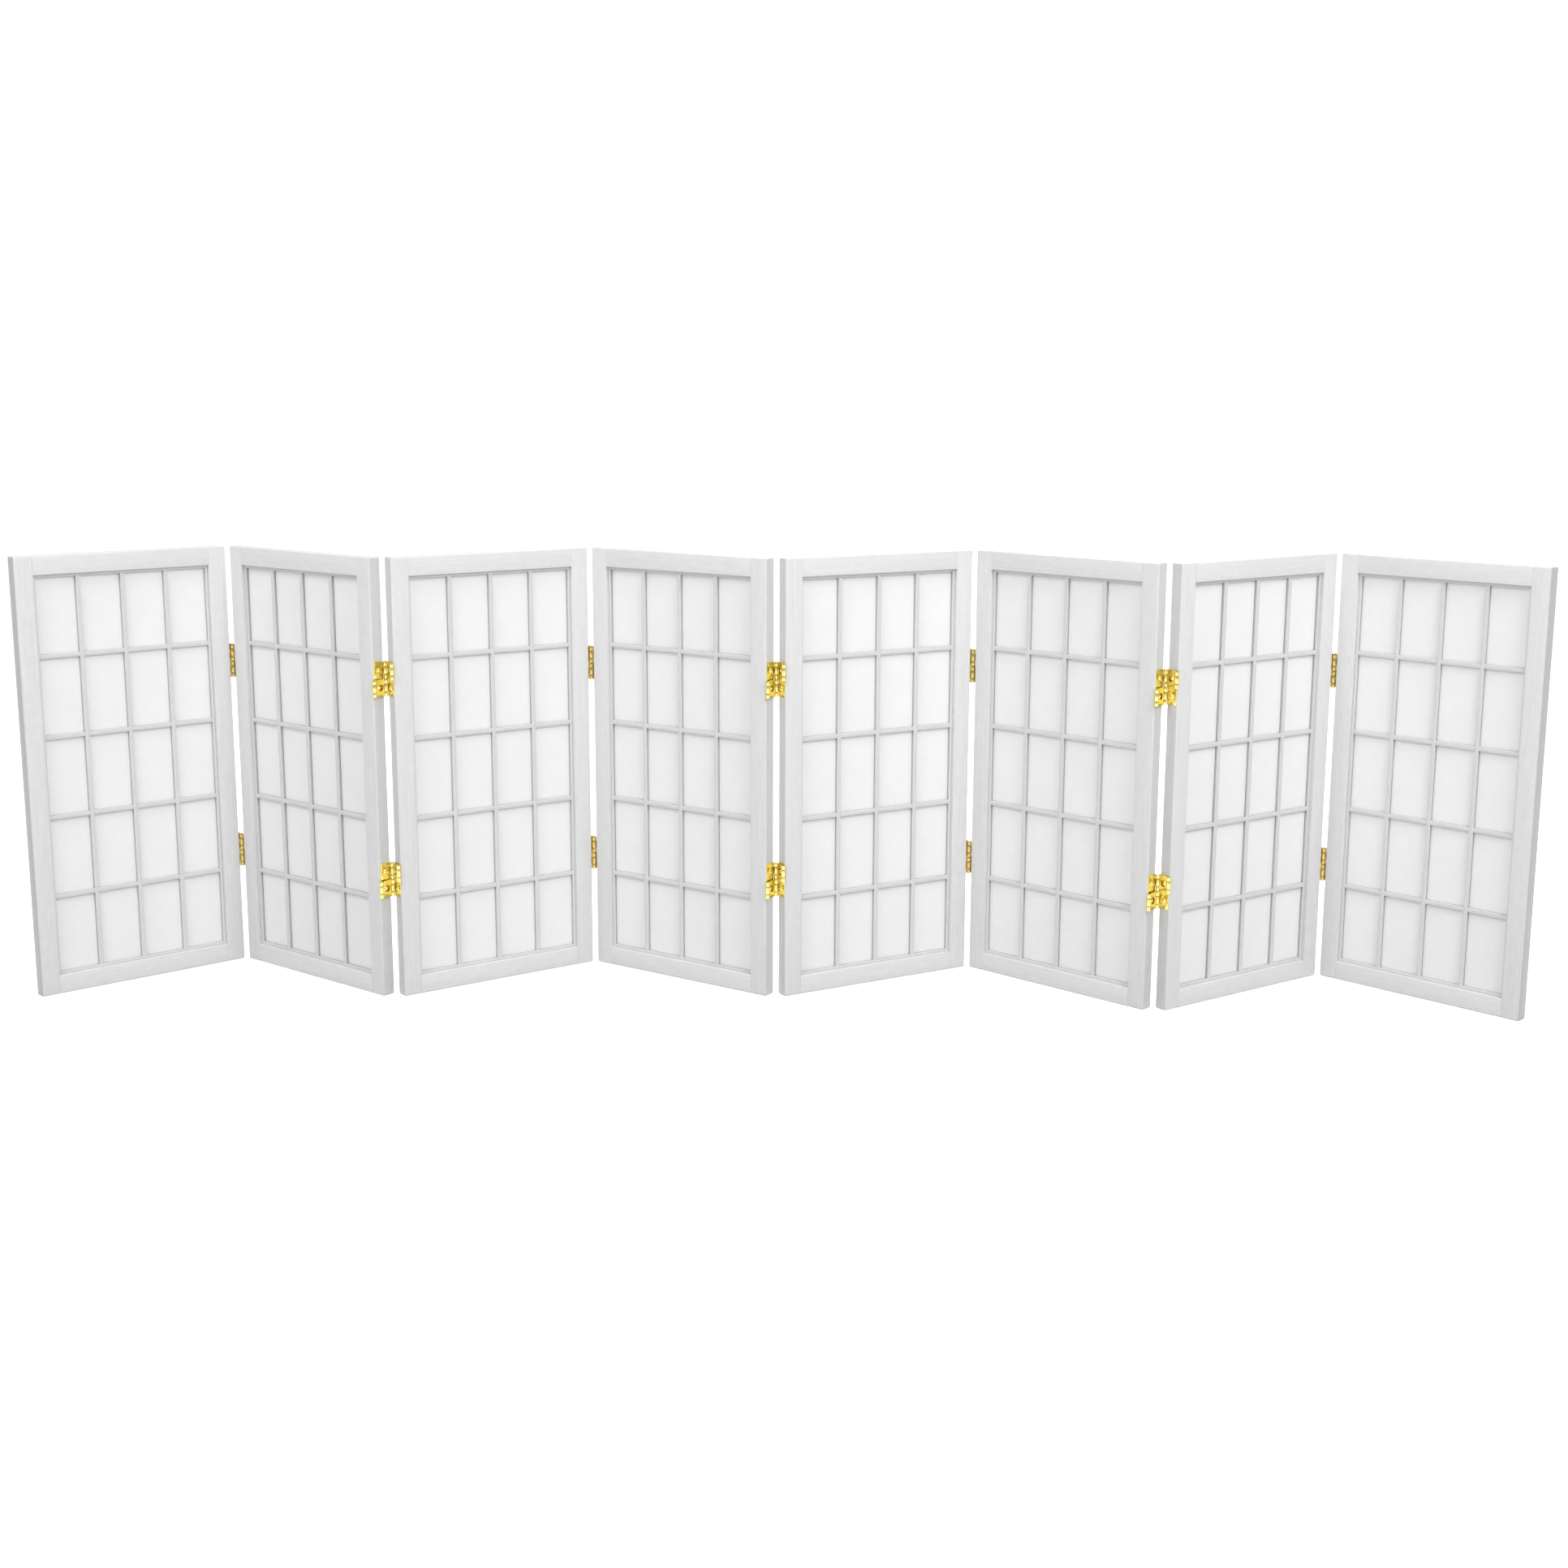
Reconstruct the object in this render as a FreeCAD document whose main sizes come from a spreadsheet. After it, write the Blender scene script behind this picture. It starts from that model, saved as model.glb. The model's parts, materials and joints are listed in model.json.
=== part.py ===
import FreeCAD, Part
import Sketcher
import math
import os

# A folding screen of eight shoji panels standing in a zigzag. A panel runs along its own X, front to -Y.
# Neighbours are joined by two-way hinges: two leaves and two crossed links on four pins.

doc = FreeCAD.newDocument("ShojiScreen")
sheet = doc.addObject("Spreadsheet::Sheet", "Sizes")

sizes = {
    "panelWidth": 305,
    "panelHeight": 610,
    "panelThickness": 19,
    "stileWidth": 26,
    "railHeight": 26,
    "arrisChamfer": 1,
    "tenonLength": 14,
    "tenonThickness": 7,
    "tenonHeight": 16,
    "glueRoom": 0.5,
    "paneColumns": 4,
    "paneRows": 5,
    "stripWidth": 6,
    "stripDepth": 4.4,
    "borderWidth": 4,
    "paperThickness": 0.3,
    "hingeHeight": 48,
    "hingeInset": 165,
    "panelGap": 6.8,
    "plateThickness": 0.8,
    "barrelRadius": 3.1,
    "barrelSides": 6,
    "middleKnuckleShare": 0.44,
    "knucklePlay": 0.3,
    "pinRadius": 1.5,
    "pinPlay": 0.1,
    "pinStandoff": 0.5,
    "sweepRoom": 0.15,
    "screwWindowRadius": 4.3,
    "leadAngle": 41.1,
    "foldAngleA": 80,
    "foldAngleB": 75,
    "foldAngleC": 71,
    "foldAngleD": 65,
    "foldAngleE": 74,
    "foldAngleF": 79,
    "foldAngleG": 81,
}
for row, (alias, number) in enumerate(sizes.items(), start=1):
    sheet.set(f"A{row}", alias)
    sheet.set(f"B{row}", str(number))
    sheet.setAlias(f"B{row}", alias)
doc.recompute()


def value(alias):
    return float(sheet.get(alias))


# Lengths that follow from the sheet, as formulas on its cells.
openingWidth = "(Sizes.panelWidth - 2 * Sizes.stileWidth)"
openingHeight = "(Sizes.panelHeight - 2 * Sizes.railHeight)"
columnPitch = f"({openingWidth} / Sizes.paneColumns)"
rowPitch = f"({openingHeight} / Sizes.paneRows)"
latticeFront = "(-Sizes.paperThickness / 2 - Sizes.stripDepth)"
tenonSide = "((Sizes.panelThickness - Sizes.tenonThickness) / 2)"
tenonFoot = "((Sizes.railHeight - Sizes.tenonHeight) / 2)"
pinReach = "(Sizes.panelThickness / 2 + Sizes.pinStandoff)"
halfHinge = "(Sizes.hingeHeight / 2)"
barrelStart = "(Sizes.knucklePlay / 2)"
barrelHeight = f"({halfHinge} - {barrelStart})"
middleHeight = f"({halfHinge} * Sizes.middleKnuckleShare)"
outerHeight = f"(({barrelHeight} - {middleHeight}) / 2 - Sizes.knucklePlay)"
middleStart = f"({barrelStart} + {outerHeight} + Sizes.knucklePlay)"
upperStart = f"({halfHinge} - {outerHeight})"
flatTurn = "(180 / Sizes.barrelSides)"
boreCorner = f"((Sizes.pinRadius + Sizes.pinPlay) / cos({flatTurn}))"
halfGap = "(Sizes.panelGap / 2)"
sweepRadius = "(Sizes.barrelRadius + Sizes.sweepRoom)"
linkReach = f"({pinReach} - {sweepRadius})"
leafReach = f"({pinReach} - sqrt({sweepRadius} ^ 2 - ({halfGap} - Sizes.plateThickness) ^ 2))"
upAxis = FreeCAD.Vector(0, 0, 1)
depthAxis = FreeCAD.Vector(0, 1, 0)


def bind(item, formulas):
    for name, formula in formulas.items():
        item.setExpression(name, formula)
    return item


def place(item, x, y, z):
    return bind(item, {"Placement.Base.x": x, "Placement.Base.y": y, "Placement.Base.z": z})


def box(name, corner, length, width, height):
    item = doc.addObject("Part::Box", name)
    bind(item, {"Length": length, "Width": width, "Height": height})
    return place(item, *corner)


def prism(name, foot, corner, height):
    item = doc.addObject("Part::Prism", name)
    bind(item, {"Polygon": "Sizes.barrelSides", "Circumradius": corner, "Height": height})
    bind(item, {"Placement.Rotation.Angle": flatTurn})
    return place(item, *foot)


def group(name, members):
    item = doc.addObject("Part::Compound", name)
    item.Links = members
    return item


def turned(name, member, axis):
    item = group(name, [member])
    item.Placement = FreeCAD.Placement(FreeCAD.Vector(), FreeCAD.Rotation(axis, 180))
    return item


def fused(name, members):
    item = doc.addObject("Part::MultiFuse", name)
    item.Shapes = members
    item.Refine = True
    return item


def cut(name, base, tool):
    item = doc.addObject("Part::Cut", name)
    item.Base = base
    item.Tool = tool
    item.Refine = True
    return item


def sketchOn(body, name, role):
    sketch = body.newObject("Sketcher::SketchObject", name)
    plane = [face for face in body.Origin.OriginFeatures if face.Role == role][0]
    sketch.AttachmentSupport = [(plane, "")]
    sketch.MapMode = "FlatFace"
    return sketch


def addRectangle(sketch, left, foot, width, height):
    first = len(sketch.Geometry)
    side = value("railHeight")
    ring = [
        FreeCAD.Vector(side, side, 0),
        FreeCAD.Vector(2 * side, side, 0),
        FreeCAD.Vector(2 * side, 2 * side, 0),
        FreeCAD.Vector(side, 2 * side, 0),
    ]
    for index in range(4):
        sketch.addGeometry(Part.LineSegment(ring[index], ring[(index + 1) % 4]), False)
    for index in range(4):
        ends = (first + index, 2, first + (index + 1) % 4, 1)
        sketch.addConstraint(Sketcher.Constraint("Coincident", *ends))
    for index in (0, 2):
        sketch.addConstraint(Sketcher.Constraint("Horizontal", first + index))
        sketch.addConstraint(Sketcher.Constraint("Vertical", first + index + 1))
    measures = (
        ("left", "DistanceX", (-1, 1, first, 1), left),
        ("foot", "DistanceY", (-1, 1, first, 1), foot),
        ("width", "DistanceX", (first, 1, first, 2), width),
        ("height", "DistanceY", (first + 1, 1, first + 1, 2), height),
    )
    for word, kind, points, formula in measures:
        name = f"{word}{first}"
        number = sketch.addConstraint(Sketcher.Constraint(kind, *points, side))
        sketch.renameConstraint(number, name)
        sketch.setExpression(f"Constraints.{name}", formula)
    return sketch


def pad(body, name, sketch, length):
    item = body.newObject("PartDesign::Pad", name)
    item.Profile = sketch
    bind(item, {"Length": length})
    body.Tip = item
    return item


def eased(body, name, base, test):
    doc.recompute()
    edges = enumerate(base.Shape.Edges, start=1)
    item = body.newObject("PartDesign::Chamfer", name)
    item.Base = (base, [f"Edge{number}" for number, edge in edges if test(edge)])
    bind(item, {"Size": "Sizes.arrisChamfer"})
    body.Tip = item
    return item


# Right stile: inner face at its own X = 0, mortised near both ends, outer arrises eased.
stile = doc.addObject("PartDesign::Body", "Stile")
stileSection = addRectangle(
    sketchOn(stile, "StileSection", "XY_Plane"), "0", "0", "Sizes.stileWidth", "Sizes.panelThickness"
)
pad(stile, "StilePad", stileSection, "Sizes.panelHeight")
mortiseShape = sketchOn(stile, "MortiseShape", "YZ_Plane")
for end in ("0", "Sizes.panelHeight - Sizes.railHeight"):
    foot = f"{end} + {tenonFoot}"
    addRectangle(mortiseShape, tenonSide, foot, "Sizes.tenonThickness", "Sizes.tenonHeight")
mortises = stile.newObject("PartDesign::Pocket", "Mortises")
mortises.Profile = mortiseShape
mortises.Reversed = True
bind(mortises, {"Length": "Sizes.tenonLength + Sizes.glueRoom"})
stile.Tip = mortises
eased(stile, "StileArrises", mortises, lambda edge: math.isclose(edge.CenterOfMass.x, value("stileWidth")))
place(stile, "Sizes.panelWidth / 2 - Sizes.stileWidth", "-Sizes.panelThickness / 2", "0")
stiles = group("Stiles", [stile, turned("LeftStile", stile, upAxis)])

# Bottom rail: shoulders against the stiles, a tenon at each end, lower arrises eased.
rail = doc.addObject("PartDesign::Body", "Rail")
railSection = addRectangle(
    sketchOn(rail, "RailSection", "YZ_Plane"), "0", "0", "Sizes.panelThickness", "Sizes.railHeight"
)
bind(railSection, {"AttachmentOffset.Base.z": "Sizes.tenonLength"})
pad(rail, "RailPad", railSection, openingWidth)
tenonSection = addRectangle(
    sketchOn(rail, "TenonSection", "YZ_Plane"),
    tenonSide,
    tenonFoot,
    "Sizes.tenonThickness",
    "Sizes.tenonHeight",
)
tenons = pad(rail, "TenonPad", tenonSection, f"{openingWidth} + 2 * Sizes.tenonLength")
railSpan = value("panelWidth") - 2 * value("stileWidth")
eased(
    rail,
    "RailArrises",
    tenons,
    lambda edge: math.isclose(edge.Length, railSpan) and edge.CenterOfMass.z < value("arrisChamfer"),
)
place(rail, f"-{openingWidth} / 2 - Sizes.tenonLength", "-Sizes.panelThickness / 2", "0")
topRail = turned("TopRail", rail, depthAxis)
bind(topRail, {"Placement.Base.z": "Sizes.panelHeight"})
rails = group("Rails", [rail, topRail])

# Front lattice: a border round the opening, uprights running through, cross bars cut between them.
columns = int(value("paneColumns"))
rows = int(value("paneRows"))
leftEdge = f"(-{openingWidth} / 2)"
clearWidth = f"({openingWidth} - 2 * Sizes.borderWidth)"
clearHeight = f"({openingHeight} - 2 * Sizes.borderWidth)"
borderTop = "Sizes.panelHeight - Sizes.railHeight - Sizes.borderWidth"
strips = []
for name, x in (("LeftBorder", leftEdge), ("RightBorder", f"{openingWidth} / 2 - Sizes.borderWidth")):
    corner = (x, latticeFront, "Sizes.railHeight")
    strips.append(box(name, corner, "Sizes.borderWidth", "Sizes.stripDepth", openingHeight))
for name, z in (("LowerBorder", "Sizes.railHeight"), ("UpperBorder", borderTop)):
    corner = (f"{leftEdge} + Sizes.borderWidth", latticeFront, z)
    strips.append(box(name, corner, clearWidth, "Sizes.stripDepth", "Sizes.borderWidth"))
for column in range(1, columns):
    x = f"{leftEdge} + {column} * {columnPitch} - Sizes.stripWidth / 2"
    corner = (x, latticeFront, "Sizes.railHeight + Sizes.borderWidth")
    strips.append(box(f"Upright{column}", corner, "Sizes.stripWidth", "Sizes.stripDepth", clearHeight))
for row in range(1, rows):
    z = f"Sizes.railHeight + {row} * {rowPitch} - Sizes.stripWidth / 2"
    for column in range(columns):
        before = "Sizes.borderWidth" if column == 0 else "Sizes.stripWidth / 2"
        after = "Sizes.borderWidth" if column == columns - 1 else "Sizes.stripWidth / 2"
        corner = (f"{leftEdge} + {column} * {columnPitch} + {before}", latticeFront, z)
        length = f"{columnPitch} - {before} - {after}"
        name = f"CrossBar{row}At{column}"
        strips.append(box(name, corner, length, "Sizes.stripDepth", "Sizes.stripWidth"))
frontLattice = group("FrontLattice", strips)
backLattice = turned("BackLattice", frontLattice, upAxis)

paper = box(
    "Paper",
    (leftEdge, "-Sizes.paperThickness / 2", "Sizes.railHeight"),
    openingWidth,
    "Sizes.paperThickness",
    openingHeight,
)

# Hinge leaf of a right panel end, about the hinge's centre: a plate on the stile's end face, with one
# knuckle over the back edge in the upper half and one over the front edge in the lower half.
frontStart = f"(-{middleStart} - {middleHeight})"
leafPlate = box(
    "LeafPlate",
    (f"-{halfGap}", f"-{leafReach}", f"-{halfHinge}"),
    "Sizes.plateThickness",
    f"2 * {leafReach}",
    "Sizes.hingeHeight",
)
leafPieces = [leafPlate]
bores = []
for name, side, tabStart, z in (
    ("Back", pinReach, leafReach, middleStart),
    ("Front", f"-{pinReach}", f"-{pinReach}", frontStart),
):
    corner = (f"-{halfGap}", tabStart, z)
    tabWidth = f"{pinReach} - {leafReach}"
    leafPieces.append(box(f"{name}Tab", corner, "Sizes.plateThickness", tabWidth, middleHeight))
    leafPieces.append(prism(f"{name}Knuckle", ("0", side, z), "Sizes.barrelRadius", middleHeight))
    bores.append(prism(f"{name}Bore", ("0", side, z), boreCorner, middleHeight))
leaf = cut("Leaf", fused("LeafBlank", leafPieces), group("LeafBores", bores))

# Link of the upper half: a plate between the two pin lines, with the outer knuckles and the pins at both
# edges and a window over the leaf's screw.
linkPlate = box(
    "LinkPlate",
    ("-Sizes.plateThickness / 2", f"-{linkReach}", barrelStart),
    "Sizes.plateThickness",
    f"2 * {linkReach}",
    barrelHeight,
)
linkPieces = [linkPlate]
for name, side, tabStart in (("Back", pinReach, linkReach), ("Front", f"-{pinReach}", f"-{pinReach}")):
    linkPieces.append(prism(f"{name}Pin", ("0", side, barrelStart), "Sizes.pinRadius", barrelHeight))
    for level, z in (("Lower", barrelStart), ("Upper", upperStart)):
        corner = ("-Sizes.plateThickness / 2", tabStart, z)
        tabWidth = f"{pinReach} - {linkReach}"
        linkPieces.append(box(f"{name}{level}Tab", corner, "Sizes.plateThickness", tabWidth, outerHeight))
        linkPieces.append(prism(f"{name}{level}Knuckle", ("0", side, z), "Sizes.barrelRadius", outerHeight))
window = doc.addObject("Part::Prism", "ScrewWindow")
window.Placement.Rotation = FreeCAD.Rotation(depthAxis, 90)
bind(window, {"Polygon": "Sizes.barrelSides", "Circumradius": "Sizes.screwWindowRadius"})
bind(window, {"Height": "2 * Sizes.plateThickness"})
place(window, "-Sizes.plateThickness", "0", f"{barrelStart} + {barrelHeight} / 2")
upperLink = cut("UpperLink", fused("LinkBlank", linkPieces), window)
lowerLink = turned("LowerLink", upperLink, depthAxis)


def atRightEnd(name, member):
    pair = []
    for level, z in (("Low", "Sizes.hingeInset"), ("High", "Sizes.panelHeight - Sizes.hingeInset")):
        item = group(f"{name}{level}", [member])
        pair.append(place(item, f"Sizes.panelWidth / 2 + {halfGap}", "0", z))
    return group(f"{name}Right", pair)


rightLeaves = atRightEnd("Leaves", leaf)
rightUpperLinks = atRightEnd("UpperLinks", upperLink)
rightLowerLinks = atRightEnd("LowerLinks", lowerLink)
leftOf = {}
for pair in (rightLeaves, rightUpperLinks, rightLowerLinks):
    leftOf[pair.Name] = turned(f"{pair.Name}Turned", pair, upAxis)

# The zigzag: odd joints fold about their front pins, even joints about their back pins.
folds = [value(f"foldAngle{letter}") for letter in "ABCDEFG"]
last = len(folds)
half = value("panelWidth") / 2 + value("panelGap") / 2
reach = value("panelThickness") / 2 + value("pinStandoff")
spot = FreeCAD.Placement(FreeCAD.Vector(), FreeCAD.Rotation(upAxis, value("leadAngle")))
spots = [spot]
pins = []
for joint, fold in enumerate(folds):
    pinSide = reach if joint % 2 else -reach
    pin = spot.multVec(FreeCAD.Vector(half, pinSide, 0))
    turn = FreeCAD.Rotation(upAxis, fold if joint % 2 else -fold).multiply(spot.Rotation)
    spot = FreeCAD.Placement(pin - turn.multVec(FreeCAD.Vector(-half, pinSide, 0)), turn)
    spots.append(spot)
    pins.append(pin)

subParts = []
for index in range(len(spots)):
    odd = index % 2 == 0
    links = rightUpperLinks if odd else rightLowerLinks
    leafEnds = ([rightLeaves] if index < last else []) + ([leftOf[rightLeaves.Name]] if index > 0 else [])
    linkEnds = ([links] if index < last else []) + ([leftOf[links.Name]] if index > 0 else [])
    for word, members in (
        ("stiles", [stiles]),
        ("rails", [rails]),
        ("front_lattice", [frontLattice]),
        ("back_lattice", [backLattice]),
        ("paper", [paper]),
        ("hinge_leaves", leafEnds),
        ("hinge_links", linkEnds),
    ):
        item = group(f"panel_{index + 1}_{word}", members)
        item.Placement = spots[index]
        subParts.append((index, item))
doc.recompute()

# The origin is the middle of the footprint at floor height.
extent = FreeCAD.BoundBox()
for index, item in subParts:
    extent.add(item.Shape.optimalBoundingBox(False))
shift = FreeCAD.Vector(-extent.Center.x, -extent.Center.y, -extent.ZMin)
for index, item in subParts:
    item.Placement = FreeCAD.Placement(spots[index].Base + shift, spots[index].Rotation)
doc.recompute()

for item in doc.Objects:
    if "Invalid" in item.State or "Error" in item.State:
        raise RuntimeError(f"{item.Label} did not build")
os.makedirs("parts", exist_ok=True)
for index, item in subParts:
    if item.Shape.isNull() or not item.Shape.isValid():
        raise RuntimeError(f"{item.Label} has no sound shape")
    item.Shape.exportStep(f"parts/{item.Label}.step")
    print(item.Label, len(item.Shape.Solids), "solids")
for joint, pin in enumerate(pins, start=1):
    print("pin line", joint, [round(number, 6) for number in pin + shift])
print("size", [round(number, 4) for number in (extent.XLength, extent.YLength, extent.ZLength)])
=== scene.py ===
import json
import math
import bpy
import numpy as np
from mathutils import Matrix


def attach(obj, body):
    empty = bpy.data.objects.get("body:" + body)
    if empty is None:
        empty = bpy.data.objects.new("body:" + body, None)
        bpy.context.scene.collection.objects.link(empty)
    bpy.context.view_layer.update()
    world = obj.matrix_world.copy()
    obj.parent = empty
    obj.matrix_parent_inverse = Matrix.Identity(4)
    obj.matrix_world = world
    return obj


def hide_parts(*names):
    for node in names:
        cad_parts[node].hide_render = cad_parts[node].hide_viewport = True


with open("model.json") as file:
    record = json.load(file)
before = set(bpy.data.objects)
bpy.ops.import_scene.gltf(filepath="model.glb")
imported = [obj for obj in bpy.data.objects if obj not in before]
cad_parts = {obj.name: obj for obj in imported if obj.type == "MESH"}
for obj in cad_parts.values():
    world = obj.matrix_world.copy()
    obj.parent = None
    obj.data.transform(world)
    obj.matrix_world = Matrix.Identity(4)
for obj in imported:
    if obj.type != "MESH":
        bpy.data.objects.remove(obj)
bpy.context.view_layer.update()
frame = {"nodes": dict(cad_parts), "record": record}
print("frame loaded", len(frame["nodes"]), "nodes")

rng = np.random.default_rng(11)
mm = 0.001
sharpAngle = 35  # degrees between faces, past which an edge shades sharp
grainShift = 3  # metres of grain, from which each bar takes its own stretch

# where the panels stand: a panel runs along its own x, front to -y, z up from the floor, sizes in mm
screen = {
    "width": 305.0,
    "height": 610.0,
    "thickness": 19.0,
    "halfGap": 3.4,  # half the space between two panel ends
    "pinReach": 10.0,  # pin line from the middle of the thickness
    "lead": 41.1,  # turn of the first panel
    "folds": (80, 75, 71, 65, 74, 79, 81),
}


# turn and middle of every panel: the middle is its pin less the turned arm from the middle to that pin
def panelSpots(sizes):
    half = sizes["width"] / 2 + sizes["halfGap"]
    joints = frame["record"]["behaviour"]["joints"]
    pinOf = {joint["name"]: np.array(joint["pos_m"][:2]) for joint in joints}
    turns = [sizes["lead"]]
    for number, fold in enumerate(sizes["folds"]):
        turns.append(turns[-1] + (fold if number % 2 else -fold))
    spots = []
    for number, turn in enumerate(turns):
        joint = min(number, len(sizes["folds"]) - 1)  # the last panel has a pin at its left end only
        pinSide = sizes["pinReach"] if joint % 2 else -sizes["pinReach"]
        arm = np.array([half if joint == number else -half, pinSide]) * mm
        angle = math.radians(turn)
        matrix = np.array([[math.cos(angle), -math.sin(angle)], [math.sin(angle), math.cos(angle)]])
        pin = pinOf[f"fold_{joint + 1}_{joint + 2}"]
        spots.append((matrix, pin - matrix @ arm))
    return spots


spots = panelSpots(screen)
print("panel middles", [[round(float(v), 4) for v in middle] for matrix, middle in spots])


# a rectangle with rounded corners: each corner's own centre plus its radius along a quarter circle
def roundedSection(width, depth, radii, steps):
    quarter = np.linspace(0, math.pi / 2, steps + 1)
    signs = np.array([[1, 1], [-1, 1], [-1, -1], [1, -1]], float)
    radius = np.array(radii, float)
    centre = signs * (np.array([width, depth]) / 2 - radius[:, None])
    angle = quarter[None, :] + np.arange(4)[:, None] * math.pi / 2
    ring = centre[:, None, :] + radius[:, None, None] * np.stack([np.cos(angle), np.sin(angle)], -1)
    return ring.reshape(-1, 2)


# gives each ring of flat points its own height
def raised(ring, height):
    lifted = np.broadcast_to(np.asarray(height)[:, None, None], ring.shape[:2] + (1,))
    return np.concatenate([ring, lifted], -1)


# a section carried along a straight path
# at both ends it shrinks along a quarter circle of the end radius
def barGrid(section, length, endRadius, steps):
    phase = np.linspace(0, math.pi / 2, steps + 1)
    inset = endRadius * (1 - np.sin(phase))
    along = endRadius * (1 - np.cos(phase))
    inset = np.concatenate([inset, inset[::-1]])
    along = np.concatenate([along, length - along[::-1]])
    half = np.abs(section).max(0)
    scale = 1 - inset[:, None] / half[None, :]
    return raised(section[None, :, :] * scale[:, None, :], along)


# rings of a given radius and height about the z axis
def turnedGrid(radius, height, sides):
    angle = np.arange(sides) * 2 * math.pi / sides
    circle = np.stack([np.cos(angle), np.sin(angle)], -1)
    return raised(np.asarray(radius)[:, None, None] * circle[None, :, :], height)


# collects grids of rings as one mesh; rings are closed round, ends are capped or joined to each other
class Shape:
    def __init__(self):
        self.points = []
        self.faces = []
        self.maps = []
        self.paintedShade = []
        self.count = 0

    def add(self, grid, looped=False, paintedShade=0.0):
        rows, columns = grid.shape[:2]
        index = np.arange(rows * columns).reshape(rows, columns)
        lower = index if looped else index[:-1]
        upper = np.roll(index, -1, 0) if looped else index[1:]
        quads = np.stack([lower, np.roll(lower, -1, 1), np.roll(upper, -1, 1), upper], -1).reshape(-1, 4)
        # a negative volume means that the faces look inwards
        corner = grid.reshape(-1, 3)[quads] - grid.reshape(-1, 3).mean(0)
        volume = np.einsum("ij,ij->", corner[:, 0], np.cross(corner[:, 1], corner[:, 2]))
        volume += np.einsum("ij,ij->", corner[:, 0], np.cross(corner[:, 2], corner[:, 3]))
        # the map runs along the path and round the section, in metres
        path = np.linalg.norm(np.diff(grid.mean(1), axis=0), axis=-1)
        along = np.concatenate([[0], np.cumsum(path)])
        step = np.linalg.norm(grid - np.roll(grid, -1, 1), axis=-1).max(0)
        around = np.concatenate([[0], np.cumsum(step)])
        start = rng.uniform(0, grainShift, 2)
        row = np.broadcast_to(np.arange(len(lower))[:, None], (len(lower), columns)).reshape(-1)
        column = np.broadcast_to(np.arange(columns)[None, :], (len(lower), columns)).reshape(-1)
        rowAfter = (row + 1) % rows
        first = np.stack([along[row], along[row], along[rowAfter], along[rowAfter]], -1)
        second = np.stack([around[column], around[column + 1], around[column + 1], around[column]], -1)
        uv = np.stack([first * mm + start[0], second * mm + start[1]], -1)
        if volume < 0:
            quads, uv = quads[:, ::-1], uv[:, ::-1]
        self.faces += (quads + self.count).tolist()
        self.maps.append(uv.reshape(-1, 2))
        if not looped:
            caps = [index[0][::-1], index[-1]] if volume >= 0 else [index[0], index[-1][::-1]]
            for cap in caps:
                self.faces.append((cap + self.count).tolist())
                self.maps.append(np.zeros((columns, 2)) + start)
        self.points.append(grid.reshape(-1, 3))
        self.paintedShade.append(np.broadcast_to(np.reshape(paintedShade, -1), rows * columns))
        self.count += rows * columns

    # local millimetres of one panel become metres of the frame
    def piece(self, name, panel, material, slot, nodes=()):
        matrix, middle = spots[panel]
        local = np.concatenate(self.points) * mm
        placed = local.copy()
        placed[:, :2] = local[:, :2] @ matrix.T + middle
        mesh = bpy.data.meshes.new(name)
        mesh.from_pydata(placed.tolist(), [], self.faces)
        layer = mesh.uv_layers.new(name="grain")
        layer.data.foreach_set("uv", np.concatenate(self.maps).astype(np.float32).reshape(-1))
        # how far each point lies from the middle of the thickness, in mm
        depth = mesh.attributes.new("depth", "FLOAT", "POINT")
        depth.data.foreach_set("value", np.abs(local[:, 1] / mm).astype(np.float32))
        # painted shade: a share per point by which the finish is darkened
        tone = mesh.attributes.new("paintedShade", "FLOAT", "POINT")
        tone.data.foreach_set("value", np.concatenate(self.paintedShade).astype(np.float32))
        mesh.polygons.foreach_set("use_smooth", np.ones(len(mesh.polygons), bool))
        mesh.set_sharp_from_angle(angle=math.radians(sharpAngle))
        mesh.materials.append(material)
        mesh.update()
        item = bpy.data.objects.new(name, mesh)
        bpy.context.scene.collection.objects.link(item)
        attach(item, f"panel_{panel + 1}")
        if nodes:
            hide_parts(*nodes)
        return item


# a grid's (across, deep, along) set upright in panel axes, moved to x, y, z
def upright(grid, x, y, z):
    return grid + np.array([x, y, z])


# the same laid level: along becomes x, and across becomes z
def level(grid, x, y, z):
    return grid[..., [2, 1, 0]] + np.array([x, y, z])


# the same standing out from a panel's end: along becomes x, across y and deep z
def outward(grid, x, y, z):
    return grid[..., [2, 0, 1]] + np.array([x, y, z])


def asDrawn(grid):
    return grid


# half a turn about the panel's upright middle line: x and y change sign
def halfTurn(grid):
    return grid * np.array([-1, -1, 1])


def newMaterial(name):
    material = bpy.data.materials.new(name)
    material.use_nodes = True
    tree = material.node_tree
    return material, tree, tree.nodes["Principled BSDF"]


def node(tree, kind, **settings):
    item = tree.nodes.new(kind)
    for key, setting in settings.items():
        if key in item.inputs:
            item.inputs[key].default_value = setting
        else:
            setattr(item, key, setting)
    return item


def colourRamp(tree, source, span, colours):
    ramp = tree.nodes.new("ShaderNodeValToRGB")
    for element, place, colour in zip(ramp.color_ramp.elements, span, colours):
        element.position = place
        element.color = (*colour, 1)
    tree.links.new(source, ramp.inputs["Fac"])
    return ramp.outputs["Color"]


def noise(tree, place, scale, detail, roughness=0.5):
    item = node(tree, "ShaderNodeTexNoise", Scale=scale, Detail=detail, Roughness=roughness)
    tree.links.new(place, item.inputs["Vector"])
    return item


def stretched(tree, place, scale):
    item = node(tree, "ShaderNodeMapping", Scale=scale)
    tree.links.new(place, item.inputs["Vector"])
    return item.outputs["Vector"]


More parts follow.
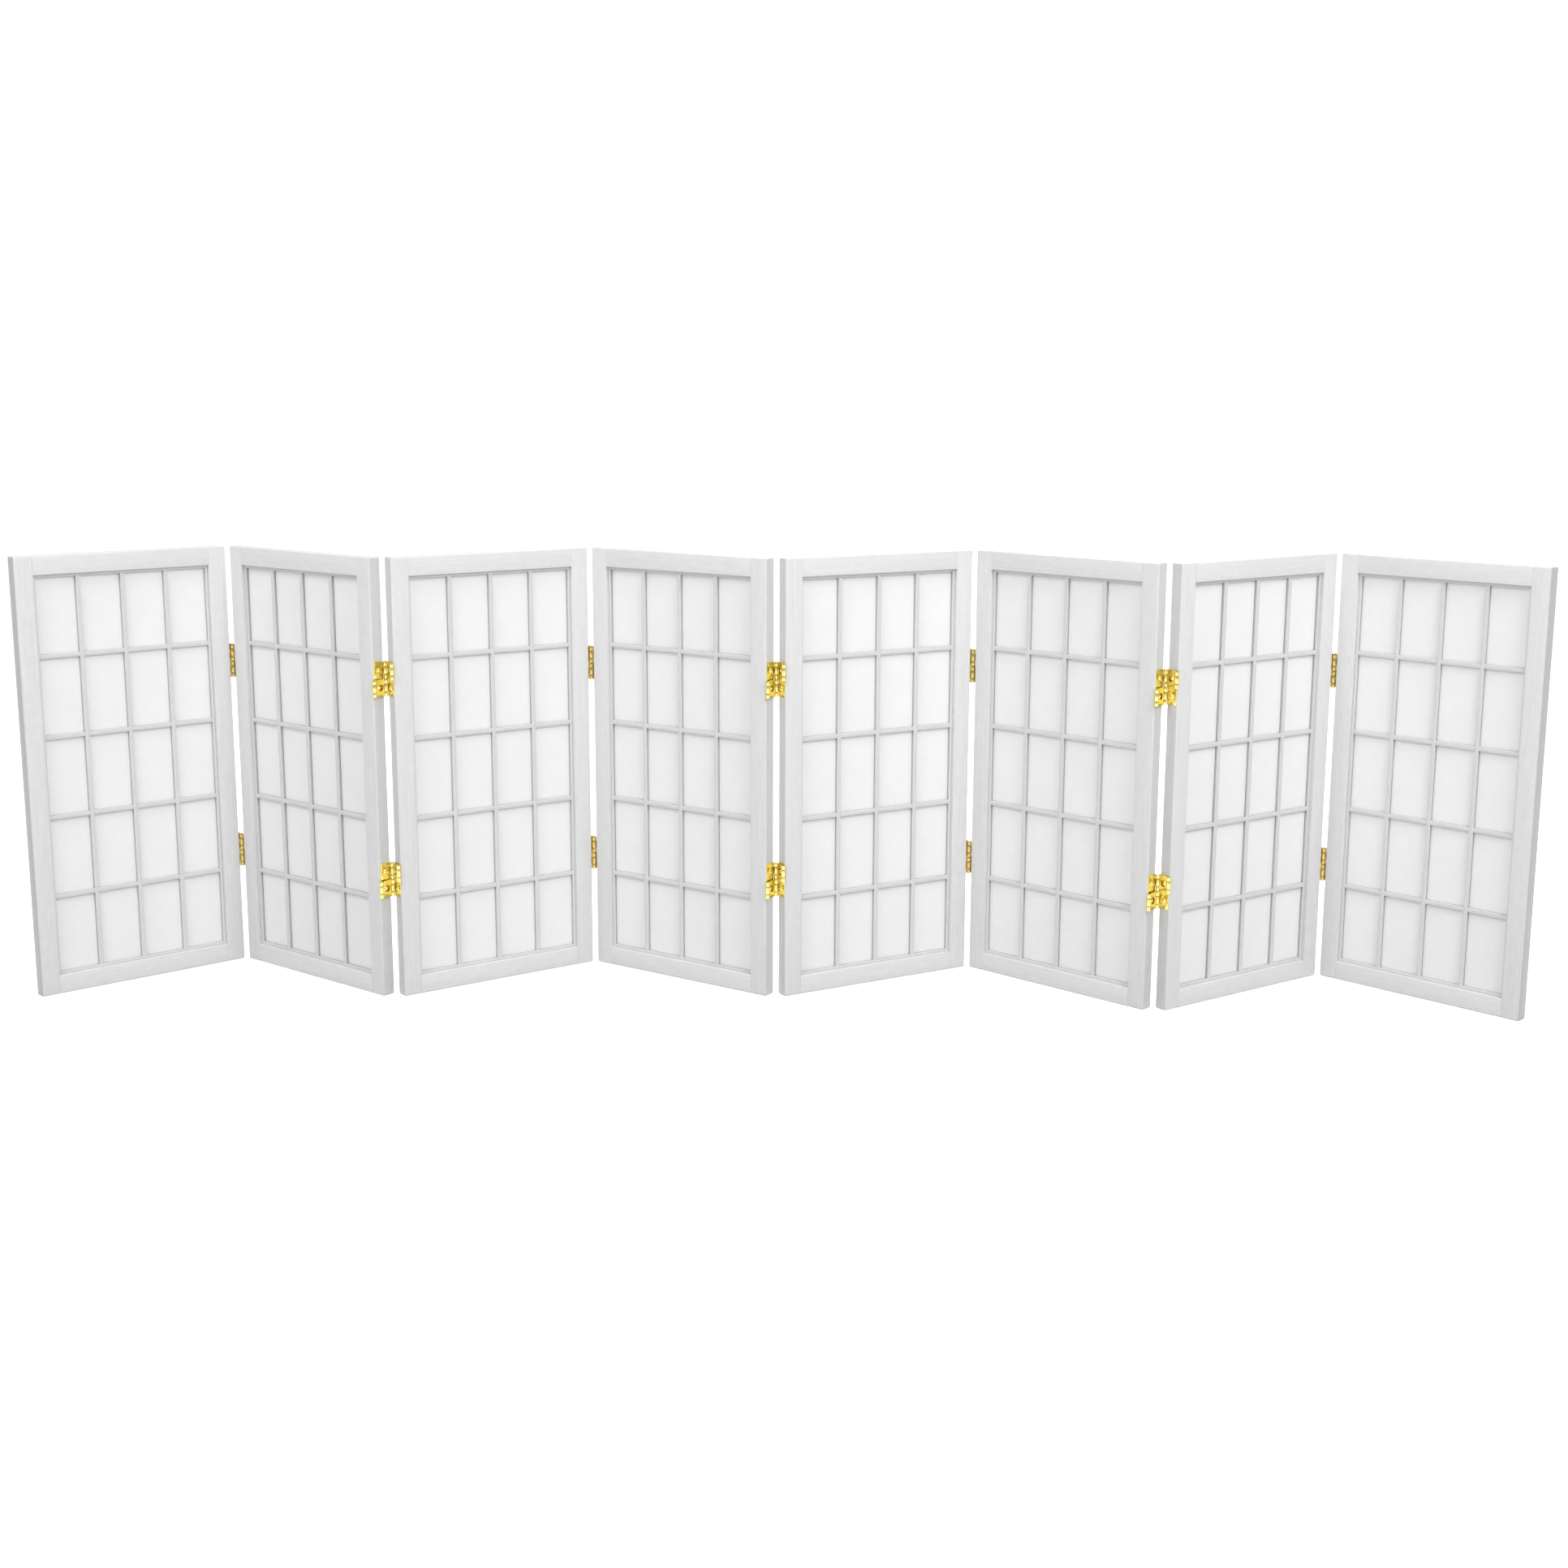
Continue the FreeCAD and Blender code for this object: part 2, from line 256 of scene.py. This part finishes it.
def mapRange(tree, source, fromSpan, toSpan):
    item = node(tree, "ShaderNodeMapRange")
    for word, number in zip(("From Min", "From Max", "To Min", "To Max"), (*fromSpan, *toSpan)):
        item.inputs[word].default_value = number
    tree.links.new(source, item.inputs["Value"])
    return item.outputs["Result"]


def scaled(tree, colour, factor):
    item = node(tree, "ShaderNodeVectorMath", operation="SCALE")
    tree.links.new(colour, item.inputs[0])
    tree.links.new(factor, item.inputs["Scale"])
    return item.outputs["Vector"]


# sockets of the Mix node, whose names repeat for every kind of value: first, second, result
mixSockets = {"FLOAT": (2, 3, 0), "RGBA": (6, 7, 2)}


# each side is a fixed value or another node's output
def mixed(tree, kind, factor, first, second, way="MIX"):
    item = node(tree, "ShaderNodeMix", data_type=kind, blend_type=way)
    firstPlace, secondPlace, result = mixSockets[kind]
    for place, side in ((firstPlace, first), (secondPlace, second)):
        if isinstance(side, bpy.types.NodeSocket):
            tree.links.new(side, item.inputs[place])
        else:
            item.inputs[place].default_value = side
    tree.links.new(factor, item.inputs[0])
    return item.outputs[result]


def bumped(tree, shader, height, look):
    bump = node(tree, "ShaderNodeBump", Strength=look["bump"], Distance=look["bumpDepth"])
    tree.links.new(height, bump.inputs["Height"])
    tree.links.new(bump.outputs["Normal"], shader.inputs["Normal"])


# white paint over fine straight grain that follows each bar, with painted shade on the sides and on marked
# points
def paintedWood(name, look):
    material, tree, shader = newMaterial(name)
    shader.inputs["Specular IOR Level"].default_value = look["specular"]
    uv = node(tree, "ShaderNodeUVMap", uv_map="grain").outputs["UV"]
    fine = stretched(tree, uv, (look["along"], look["across"], 1))
    grain = noise(tree, fine, 1.0, look["grainDetail"], look["grainRoughness"]).outputs["Fac"]
    paint = colourRamp(tree, grain, look["grainSpan"], (look["shade"], look["light"]))
    # painted shade: the sides are darkened, from the given depth down to the paper, for the shade on a bar's
    # sides and in the recess by the paper
    deep = node(tree, "ShaderNodeAttribute", attribute_name="depth").outputs["Fac"]
    paint = scaled(tree, paint, mapRange(tree, deep, look["sideDepth"], (look["sideTone"], 1.0)))
    # soft patches where the brush left more or less paint
    wide = stretched(tree, uv, look["patch"])
    patch = noise(tree, wide, 1.0, look["patchDetail"], look["patchRoughness"]).outputs["Fac"]
    cover = (1 - look["patchTone"], 1 + look["patchTone"])
    paint = scaled(tree, paint, mapRange(tree, patch, look["patchSpan"], cover))
    # painted shade: marked points, the outer end faces of the two free ends, are darkened
    paintedEndShade = node(tree, "ShaderNodeAttribute", attribute_name="paintedShade").outputs["Fac"]
    paint = mixed(tree, "RGBA", paintedEndShade, paint, (*look["paintedEndShade"], 1), "MULTIPLY")
    tree.links.new(paint, shader.inputs["Base Color"])
    gloss = (look["roughness"] - look["glossSpread"], look["roughness"] + look["glossSpread"])
    tree.links.new(mapRange(tree, grain, (0, 1), gloss), shader.inputs["Roughness"])
    bumped(tree, shader, grain, look)
    return material


frameLook = {
    "light": (0.79, 0.79, 0.79),
    "shade": (0.722, 0.722, 0.722),
    "along": 9.0,  # grain figures to a metre along a bar
    "across": 420.0,
    "grainDetail": 5.0,
    "grainRoughness": 0.6,
    "grainSpan": (0.28, 0.72),
    "roughness": 0.42,
    "glossSpread": 0.06,
    "specular": 0.4,
    "bump": 0.12,
    "bumpDepth": 0.0003,
    # painted shade: the sides are darker than the front and back faces
    "sideDepth": (8.2, 9.2),
    "sideTone": 0.87,
    "patch": (60.0, 130.0, 1.0),
    "patchDetail": 3.0,
    "patchRoughness": 0.65,
    "patchSpan": (0.33, 0.67),
    "patchTone": 0.026,
    # painted shade on the outer end faces of the two free ends
    "paintedEndShade": (0.76, 0.76, 0.76),
}
railLook = dict(frameLook, light=(0.795, 0.795, 0.795), shade=(0.74, 0.74, 0.74))
stripLook = dict(frameLook, light=(0.72, 0.72, 0.72), shade=(0.68, 0.68, 0.68), bump=0.08)
# painted shade: the strips' sides darken towards the paper, for the shade in the recess
stripLook.update(sideDepth=(0.2, 4.3), sideTone=0.44)
framePaint = paintedWood("framePaint", frameLook)
railPaint = paintedWood("railPaint", railLook)
stripPaint = paintedWood("stripPaint", stripLook)

paperLook = {
    "light": (0.935, 0.935, 0.935),
    "shade": (0.91, 0.91, 0.91),
    "fibre": (0.955, 0.955, 0.955),
    "fibreScale": 85.0,
    "fibreWidth": 0.05,
    "fibreCover": 0.5,
    "warpScale": 60.0,
    "warpDetail": 2.0,
    "warp": 0.03,  # metres by which the fibres wander
    "speckleScale": 750.0,
    "speckleDetail": 2.0,
    "speckleSpan": (0.3, 0.7),
    "speckle": 0.035,
    "cloudScale": 26.0,
    "cloudDetail": 4.0,
    "cloudRoughness": 0.6,
    "cloudSpan": (0.3, 0.7),
    "roughness": 0.75,
    "specular": 0.15,
    "bump": 0.1,
    "bumpDepth": 0.0004,
}


# white fibre paper: long faint fibres, soft clouds of thickness and fine specks
def fibrePaper(name, look):
    material, tree, shader = newMaterial(name)
    shader.inputs["Roughness"].default_value = look["roughness"]
    shader.inputs["Specular IOR Level"].default_value = look["specular"]
    place = node(tree, "ShaderNodeTexCoord").outputs["Object"]
    cloud = noise(tree, place, look["cloudScale"], look["cloudDetail"], look["cloudRoughness"]).outputs["Fac"]
    sheet = colourRamp(tree, cloud, look["cloudSpan"], (look["shade"], look["light"]))
    warp = noise(tree, place, look["warpScale"], look["warpDetail"])
    bend = node(tree, "ShaderNodeVectorMath", operation="MULTIPLY_ADD")
    bend.inputs[1].default_value = (look["warp"],) * 3
    tree.links.new(warp.outputs["Color"], bend.inputs[0])
    tree.links.new(place, bend.inputs[2])
    fibre = node(tree, "ShaderNodeTexVoronoi", feature="DISTANCE_TO_EDGE", Scale=look["fibreScale"])
    tree.links.new(bend.outputs["Vector"], fibre.inputs["Vector"])
    thread = mapRange(tree, fibre.outputs["Distance"], (0, look["fibreWidth"]), (look["fibreCover"], 0))
    sheet = mixed(tree, "RGBA", thread, sheet, (*look["fibre"], 1))
    speck = noise(tree, place, look["speckleScale"], look["speckleDetail"]).outputs["Fac"]
    sheet = scaled(tree, sheet, mapRange(tree, speck, look["speckleSpan"], (1 - look["speckle"], 1)))
    tree.links.new(sheet, shader.inputs["Base Color"])
    bumped(tree, shader, cloud, look)
    return material


shojiPaper = fibrePaper("shojiPaper", paperLook)

brassLook = {
    "light": (0.82, 0.70, 0.27),
    "shade": (0.74, 0.61, 0.2),
    # painted shade: darker brass for the joints that fold away, for the shade inside the folds
    "paintedShade": (0.72, 0.63, 0.5),
    "low": 0.15,  # roughness where the polish is best
    "high": 0.27,
    "wearScale": 90.0,
    "wearDetail": 3.0,
    "wearSpan": (0.3, 0.65),
}
screwLook = dict(brassLook, light=(0.85, 0.72, 0.32), shade=(0.79, 0.65, 0.25), low=0.12, high=0.22)


# polished yellow brass with fine wear in its gloss, darkened at marked points as painted shade
def polishedBrass(name, look):
    material, tree, shader = newMaterial(name)
    shader.inputs["Metallic"].default_value = 1.0
    place = node(tree, "ShaderNodeTexCoord").outputs["Object"]
    wear = noise(tree, place, look["wearScale"], look["wearDetail"]).outputs["Fac"]
    metal = colourRamp(tree, wear, look["wearSpan"], (look["shade"], look["light"]))
    # painted shade: points marked in the attribute are darkened, the hinges of the joints that fold away
    paintedShade = node(tree, "ShaderNodeAttribute", attribute_name="paintedShade").outputs["Fac"]
    metal = mixed(tree, "RGBA", paintedShade, metal, (*look["paintedShade"], 1), "MULTIPLY")
    tree.links.new(metal, shader.inputs["Base Color"])
    gloss = mapRange(tree, wear, (0, 1), (look["low"], look["high"]))
    tree.links.new(gloss, shader.inputs["Roughness"])
    return material


brass = polishedBrass("brass", brassLook)
screwBrass = polishedBrass("screwBrass", screwLook)
print("finishes made")

# frame and lattice of each panel, sizes in mm
stileBar = {"width": 26.0, "outer": 2.0, "inner": 0.6, "end": 1.6, "steps": 5}
railBar = {"height": 26.0, "outer": 1.6, "inner": 0.6, "end": 0.55, "steps": 4}
strip = {
    "width": 6.0,
    "depth": 4.4,
    "border": 4.0,
    "columns": 4,
    "rows": 5,
    "arris": 0.45,
    "arrisSteps": 2,
    "end": 0.15,
    "endSteps": 1,
    "paper": 0.3,
}
opening = (screen["width"] - 2 * stileBar["width"], screen["height"] - 2 * railBar["height"])


# a rounded section carried up the whole height, and the same after half a turn
def makeStiles(panel):
    bar = stileBar
    radii = (bar["outer"], bar["inner"], bar["inner"], bar["outer"])
    section = roundedSection(bar["width"], screen["thickness"], radii, bar["steps"])
    grid = barGrid(section, screen["height"], bar["end"], bar["steps"])
    right = upright(grid, (screen["width"] - bar["width"]) / 2, 0, 0)
    outside = right[..., 0] > screen["width"] / 2 - bar["outer"] / 2
    shape = Shape()
    shape.add(right, paintedShade=outside * float(panel == len(spots) - 1))  # painted shade: the outer end faces of the two free ends are darkened
    shape.add(halfTurn(right), paintedShade=outside * float(panel == 0))
    shape.piece(f"stiles_{panel + 1}", panel, framePaint, "wood", [f"panel_{panel + 1}_stiles"])


# a rounded section carried across the opening, and its mirror image at the top
def makeRails(panel):
    bar = railBar
    radii = (bar["inner"], bar["outer"], bar["outer"], bar["inner"])
    section = roundedSection(bar["height"], screen["thickness"], radii, bar["steps"])
    grid = barGrid(section, opening[0], bar["end"], bar["steps"])
    low = level(grid, -opening[0] / 2, 0, bar["height"] / 2)
    high = low * np.array([1, 1, -1]) + np.array([0, 0, screen["height"]])
    shape = Shape()
    shape.add(low)
    shape.add(high)
    shape.piece(f"rails_{panel + 1}", panel, railPaint, "wood", [f"panel_{panel + 1}_rails"])


def stripGrid(width, length):
    section = roundedSection(width, strip["depth"], (strip["arris"],) * 4, strip["arrisSteps"])
    return barGrid(section, length, strip["end"], strip["endSteps"])


# border strips, uprights right through and cross bars between them, at even steps over the opening
def latticeGrids():
    deep = -strip["paper"] / 2 - strip["depth"] / 2
    foot = railBar["height"]
    pitch = (opening[0] / strip["columns"], opening[1] / strip["rows"])
    grids = []
    for side in (-1, 1):
        edge = side * (opening[0] - strip["border"]) / 2
        grids.append(upright(stripGrid(strip["border"], opening[1]), edge, deep, foot))
        rise = foot + opening[1] / 2 + side * (opening[1] - strip["border"]) / 2
        clear = opening[0] - 2 * strip["border"]
        grids.append(level(stripGrid(strip["border"], clear), -clear / 2, deep, rise))
    for column in range(1, strip["columns"]):
        x = -opening[0] / 2 + column * pitch[0]
        length = opening[1] - 2 * strip["border"]
        grids.append(upright(stripGrid(strip["width"], length), x, deep, foot + strip["border"]))
    for row in range(1, strip["rows"]):
        rise = foot + row * pitch[1]
        for column in range(strip["columns"]):
            before = strip["border"] if column == 0 else strip["width"] / 2
            after = strip["border"] if column == strip["columns"] - 1 else strip["width"] / 2
            left = -opening[0] / 2 + column * pitch[0] + before
            bar = stripGrid(strip["width"], pitch[0] - before - after)
            grids.append(level(bar, left, deep, rise))
    return grids


def makeLattice(panel, grids, word, turn):
    shape = Shape()
    for grid in grids:
        shape.add(turn(grid))
    shape.piece(f"{word}_{panel + 1}", panel, stripPaint, "wood", [f"panel_{panel + 1}_{word}"])


latticeSet = latticeGrids()
for panel in range(len(spots)):
    makeStiles(panel)
    makeRails(panel)
    makeLattice(panel, latticeSet, "front_lattice", asDrawn)
    makeLattice(panel, latticeSet, "back_lattice", halfTurn)
    sheetNode = frame["nodes"][f"panel_{panel + 1}_paper"]
    sheetNode.data.materials.clear()
    sheetNode.data.materials.append(shojiPaper)
print("panels made")

# two-way hinges, about the middle of a hinge at a panel's right end
hinge = {
    "height": 48.0,
    "inset": 165.0,
    "plate": 0.8,
    "plateEdge": 0.15,
    "corner": 1.0,
    "barrel": 3.1,
    "ease": 0.4,  # rounded rim of a knuckle
    "rim": 0.1,
    "sink": 0.25,  # pin's end below the knuckle's
    "pin": 1.5,
    "pinSides": 10,
    "pinShort": 0.3,
    "middle": 10.56,  # leaf knuckle
    "play": 0.3,
    "leafReach": 8.05,
    "leafLap": 1.0,  # tab over its plate
    "leafTabCorner": 0.1,
    "linkReach": 6.75,
    "linkTabCorner": 0.05,
    "tabEdge": 0.05,
    "window": 4.3,
    "windowEase": 0.12,
    "windowSteps": 48,
    "sides": 16,
}
outerKnuckle = ((hinge["height"] - hinge["play"]) / 2 - hinge["middle"]) / 2 - hinge["play"]
foot = hinge["play"] / 2
middleFoot = foot + outerKnuckle + hinge["play"]
upperFoot = hinge["height"] / 2 - outerKnuckle
windowRise = foot + (hinge["height"] / 2 - foot) / 2


# a barrel with eased rims and the pin's end set a little in: radius over height, turned about the pin
def knuckleGrid(height):
    ease, rim, sink = hinge["ease"], hinge["rim"], hinge["sink"]
    barrel, pin = hinge["barrel"], hinge["pin"]
    radius = [pin, pin, barrel - ease, barrel - rim, barrel]
    low = [sink, 0, 0, rim, ease]
    high = [height - ease, height - rim, height, height, height - sink]
    return turnedGrid(radius + radius[::-1], low + high, hinge["sides"])


# a rounded rectangle carried through the plate's thickness
def plateGrid(width, height):
    section = roundedSection(width, height, (hinge["corner"],) * 4, 3)
    return barGrid(section, hinge["plate"], hinge["plateEdge"], 2)


# a small rectangle from a plate to its knuckle, carried through the thickness
def tabGrid(width, height, corner):
    section = roundedSection(width, height, (corner,) * 4, 1)
    return barGrid(section, hinge["plate"], hinge["tabEdge"], 1)


# a plate with a round window: each angle's ring runs front rim, front window, back window, back rim
# the rim lies where the ray at that angle meets the rectangle
def windowPlateGrid(width, height, radius, thick):
    steps, ease = hinge["windowSteps"], hinge["windowEase"]
    angle = (np.arange(steps) + 0.5) * 2 * math.pi / steps
    ray = np.stack([np.cos(angle), np.sin(angle)], -1)
    reach = 1 / np.maximum(np.abs(ray[:, 0]) / (width / 2), np.abs(ray[:, 1]) / (height / 2))
    rim = ray * reach[:, None]
    hole = ray * radius
    wide = hole + ray * ease
    half = thick / 2
    heights = [half, half, half - ease, -half + ease, -half, -half]
    return raised(np.stack([rim, wide, hole, hole, wide, rim]), heights)


# a plate on the stile's end face, a knuckle behind it in the upper half and one before it in the lower
def leafGrids():
    face = -screen["halfGap"]
    reach, pinLine, lap = hinge["leafReach"], screen["pinReach"], hinge["leafLap"]
    grids = [outward(plateGrid(2 * reach, hinge["height"]), face, 0, 0)]
    for side, z in ((1, middleFoot), (-1, -middleFoot - hinge["middle"])):
        tab = tabGrid(pinLine - reach + lap, hinge["middle"], hinge["leafTabCorner"])
        grids.append(outward(tab, face, side * (pinLine + reach - lap) / 2, z + hinge["middle"] / 2))
        grids.append(upright(knuckleGrid(hinge["middle"]), 0, side * pinLine, z))
    return grids


# a window plate between the two pin lines, with a pin and two outer knuckles at both its edges
# each grid goes with whether its ends join
def linkGrids():
    reach, pinLine = hinge["linkReach"], screen["pinReach"]
    tall = hinge["height"] / 2 - foot
    plate = windowPlateGrid(2 * reach, tall, hinge["window"], hinge["plate"])
    grids = [(outward(plate, 0, 0, windowRise), True)]
    pinEnds = [foot + hinge["pinShort"], hinge["height"] / 2 - hinge["pinShort"]]
    for side in (-1, 1):
        pinRod = turnedGrid([hinge["pin"]] * 2, pinEnds, hinge["pinSides"])
        grids.append((upright(pinRod, 0, side * pinLine, 0), False))
        for z in (foot, upperFoot):
            tab = tabGrid(pinLine - reach, outerKnuckle, hinge["linkTabCorner"])
            centre = side * (pinLine + reach) / 2
            grids.append((outward(tab, -hinge["plate"] / 2, centre, z + outerKnuckle / 2), False))
            grids.append((upright(knuckleGrid(outerKnuckle), 0, side * pinLine, z), False))
    return grids


screw = {
    "radius": 3.6,
    "dome": 2.2,
    "slot": 0.3,  # half the width of a slot
    "slotWall": 0.15,
    "arm": 1.35,  # from the middle to a slot's end
    "armFade": 0.5,
    "cut": 0.6,
    "foot": -0.2,
    "crown": 0.03,  # smallest ring, as a share of the radius
    "sides": 48,
    "rings": 16,
    "rise": windowRise,
}


# a round head: height falls from the crown along an ellipse
# two crossed slots that end inside the rim are taken off it
def screwGrid(turn):
    share = np.concatenate([[1.0], np.linspace(1, screw["crown"], screw["rings"])])
    angle = np.arange(screw["sides"]) * 2 * math.pi / screw["sides"]
    across = screw["radius"] * share[:, None] * np.cos(angle)[None, :]
    deep = screw["radius"] * share[:, None] * np.sin(angle)[None, :]
    rise = screw["dome"] * np.sqrt(np.clip(1 - share**2, 0, 1))[:, None] * np.ones_like(across)
    first = np.abs(deep * math.cos(turn) - across * math.sin(turn))
    second = np.abs(across * math.cos(turn) + deep * math.sin(turn))
    slots = []
    for wide, long in ((first, second), (second, first)):
        walls = np.clip((screw["slot"] - wide) / screw["slotWall"] + 0.5, 0, 1)
        slots.append(walls * np.clip((screw["arm"] - long) / screw["armFade"], 0, 1))
    rise = rise - screw["cut"] * np.maximum(*slots)
    rise[0] = screw["foot"]
    return np.stack([across, deep, rise], -1)


# leaves, links and screws of one panel's ends; odd panels carry the upper links, even ones the lower
def makeHinges(panel):
    leaves, links, screws = Shape(), Shape(), Shape()
    ends = ([asDrawn] if panel < len(spots) - 1 else []) + ([halfTurn] if panel > 0 else [])
    flip = np.array([1, 1, 1]) if panel % 2 == 0 else np.array([-1, 1, -1])
    seat = -screen["halfGap"] + hinge["plate"]
    for turn in ends:
        foldShade = float((turn is halfTurn) == (panel % 2 == 1))  # hinges of the joints that fold away are darkened: painted shade for the shade inside the folds
        for z in (hinge["inset"], screen["height"] - hinge["inset"]):
            place = np.array([screen["width"] / 2 + screen["halfGap"], 0, z])
            for grid in leafGrids():
                leaves.add(turn(grid + place), paintedShade=foldShade)
            for grid, looped in linkGrids():
                links.add(turn(grid * flip + place), looped, foldShade)
            for side in (-1, 1):
                head = outward(screwGrid(rng.uniform(0, math.pi)), seat, 0, side * screw["rise"])
                screws.add(turn(head + place), paintedShade=foldShade)
    number = panel + 1
    leaves.piece(f"hinge_leaves_{number}", panel, brass, "brass", [f"panel_{number}_hinge_leaves"])
    links.piece(f"hinge_links_{number}", panel, brass, "brass", [f"panel_{number}_hinge_links"])
    screws.piece(f"hinge_screws_{number}", panel, screwBrass, "brass")


for panel in range(len(spots)):
    makeHinges(panel)
print("hinges made")

floorLook = {
    "size": 14.0,
    "steps": 3,
    "drop": -0.0004,
    "colour": (0.9, 0.9, 0.9),
    "bounce": (0.5, 0.5, 0.5),
    "glow": 0.6,
    "roughness": 0.8,
    "specular": 0.1,
}


# a flat square grid, shown white as the photograph's cut-out ground, that throws back less light
def makeFloor(look):
    steps = look["steps"]
    reach = np.linspace(-look["size"], look["size"], steps)
    x, y = np.meshgrid(reach, reach, indexing="ij")
    points = np.stack([x, y, np.full_like(x, look["drop"])], -1).reshape(-1, 3)
    index = np.arange(steps * steps).reshape(steps, steps)
    quads = np.stack([index[:-1, :-1], index[1:, :-1], index[1:, 1:], index[:-1, 1:]], -1).reshape(-1, 4)
    mesh = bpy.data.meshes.new("floor")
    mesh.from_pydata(points.tolist(), [], quads.tolist())
    material, tree, shader = newMaterial("paleFloor")
    shader.inputs["Roughness"].default_value = look["roughness"]
    shader.inputs["Specular IOR Level"].default_value = look["specular"]
    shader.inputs["Emission Color"].default_value = (1, 1, 1, 1)
    rays = node(tree, "ShaderNodeLightPath")
    direct = mapRange(tree, rays.outputs["Is Diffuse Ray"], (0, 1), (1, 0))
    tone = mixed(tree, "RGBA", direct, (*look["bounce"], 1), (*look["colour"], 1))
    tree.links.new(tone, shader.inputs["Base Color"])
    glow = mapRange(tree, direct, (0, 1), (0, look["glow"]))
    tree.links.new(glow, shader.inputs["Emission Strength"])
    mesh.materials.append(material)
    floor = bpy.data.objects.new("floor", mesh)
    bpy.context.scene.collection.objects.link(floor)


makeFloor(floorLook)

studio = {"shown": 1.0, "light": 0.56, "frontGloss": 0.55, "backGloss": 1.0, "glossSpan": (-0.9, 0.3)}


# the backdrop shows pure white, lights less than that, and the front of the room is dim in the brass
def makeBackdrop(look):
    world = bpy.data.worlds.new("studio")
    bpy.context.scene.world = world
    world.use_nodes = True
    tree = world.node_tree
    rays = node(tree, "ShaderNodeLightPath")
    split = node(tree, "ShaderNodeSeparateXYZ")
    toward = node(tree, "ShaderNodeTexCoord")
    tree.links.new(toward.outputs["Generated"], split.inputs["Vector"])
    gloss = mapRange(tree, split.outputs["Y"], look["glossSpan"], (look["frontGloss"], look["backGloss"]))
    strength = mixed(tree, "FLOAT", rays.outputs["Is Glossy Ray"], look["light"], gloss)
    strength = mixed(tree, "FLOAT", rays.outputs["Is Camera Ray"], strength, look["shown"])
    backdrop = tree.nodes["Background"]
    backdrop.inputs["Color"].default_value = (1, 1, 1, 1)
    tree.links.new(strength, backdrop.inputs["Strength"])


makeBackdrop(studio)
bpy.context.scene.view_settings.view_transform = "Standard"

softBoxes = {
    "keyRight": {"place": (2.2, -2.6, 2.6), "aim": (0, 0, 0.4), "size": 1.3, "power": 40.0},
    "keyHigh": {"place": (1.5, -1.8, 3.1), "aim": (0, 0, 0.4), "size": 1.2, "power": 28.0},
    "fillLeft": {"place": (-2.6, -2.6, 2.2), "aim": (0, 0, 0.4), "size": 1.2, "power": 16.0},
    "fillHigh": {"place": (-1.6, -1.8, 3.0), "aim": (0, 0, 0.4), "size": 1.2, "power": 31.0},
    "backSoft": {"place": (0.6, 2.6, 2.1), "aim": (0, 0, 0.4), "size": 1.6, "power": 60.0},
}


# a square soft box, tilted and turned so that it faces its aim
def makeLight(name, look):
    data = bpy.data.lights.new(name, "AREA")
    data.shape = "SQUARE"
    data.size = look["size"]
    data.energy = look["power"]
    light = bpy.data.objects.new(name, data)
    away = np.array(look["place"]) - np.array(look["aim"])
    tilt = math.acos(away[2] / np.linalg.norm(away))
    light.rotation_euler = (tilt, 0, math.atan2(away[0], -away[1]))
    light.location = look["place"]
    bpy.context.scene.collection.objects.link(light)


for name, look in softBoxes.items():
    makeLight(name, look)

# camera of the photograph: lens from its focal length in pixels over the frame's width in pixels
photoCamera = {
    "focalPixels": 2535.34,
    "framePixels": 1932.0,
    "sensor": 36.0,
    "offset": (-0.920908, 2.856673),  # first panel's middle from the camera
    "height": 0.844357,
    "down": 11.1039,
    "roll": 0.15924,
}
cameraData = bpy.data.cameras.new("photoCamera")
cameraData.sensor_width = photoCamera["sensor"]
cameraData.lens = photoCamera["focalPixels"] / photoCamera["framePixels"] * photoCamera["sensor"]
camera = bpy.data.objects.new("photoCamera", cameraData)
camera.rotation_mode = "ZYX"
camera.rotation_euler = (math.radians(90 - photoCamera["down"]), 0, math.radians(photoCamera["roll"]))
camera.location = (*(spots[0][1] - np.array(photoCamera["offset"])), photoCamera["height"])
bpy.context.scene.collection.objects.link(camera)
bpy.context.scene.camera = camera
print("studio made")
